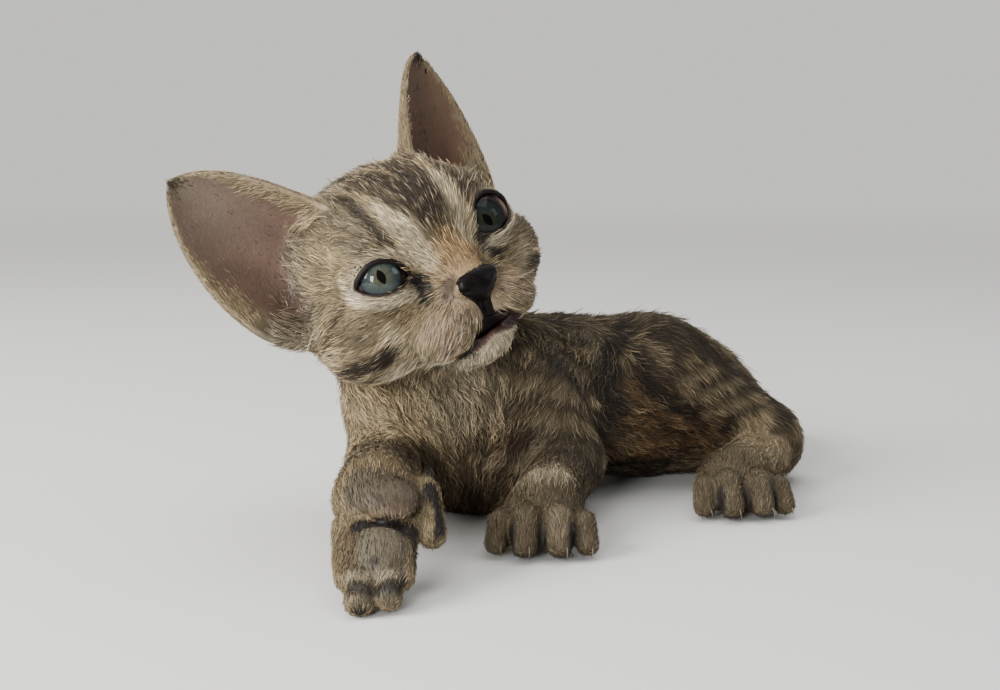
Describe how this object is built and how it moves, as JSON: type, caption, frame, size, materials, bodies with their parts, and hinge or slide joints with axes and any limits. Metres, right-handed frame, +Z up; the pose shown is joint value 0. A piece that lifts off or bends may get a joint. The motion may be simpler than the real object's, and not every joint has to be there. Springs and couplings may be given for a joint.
{
  "type": "devon rex kitten, still life-size model",
  "caption": "Curly-coated, large-eared kitten lying on its chest and hip, head turned and tilted, one forepaw stretched out.",
  "frame": {"origin": "middle of the whole kitten's box, at the floor it lies on", "axes": "+Z up, +X to the right as seen from the kitten's face side, -Y towards the viewer and the outstretched forepaw"},
  "size_m": [0.1556, 0.1716, 0.1102],
  "materials": {
    "fur": "short wavy brown tabby fur",
    "ear": "thin bare skin inside, short fur outside",
    "nose": "moist dark nose leather",
    "eye": "wet blue-grey eye with a slit pupil"
  },
  "bodies": {
    "root": {"head": "fur", "nose": "nose", "ear_left": "ear", "ear_right": "ear", "eye_left": "eye", "eye_right": "eye", "neck": "fur", "torso": "fur", "upper_foreleg_right": "fur", "upper_foreleg_left": "fur", "forearm_right": "fur", "forearm_left": "fur", "forepaw_right": "fur", "forepaw_left": "fur", "thigh_left": "fur", "shank_left": "fur", "hind_paw_left": "fur", "hind_paw_right": "fur", "tail_root": "fur", "tail_tip": "fur"}
  },
  "joints": []
}
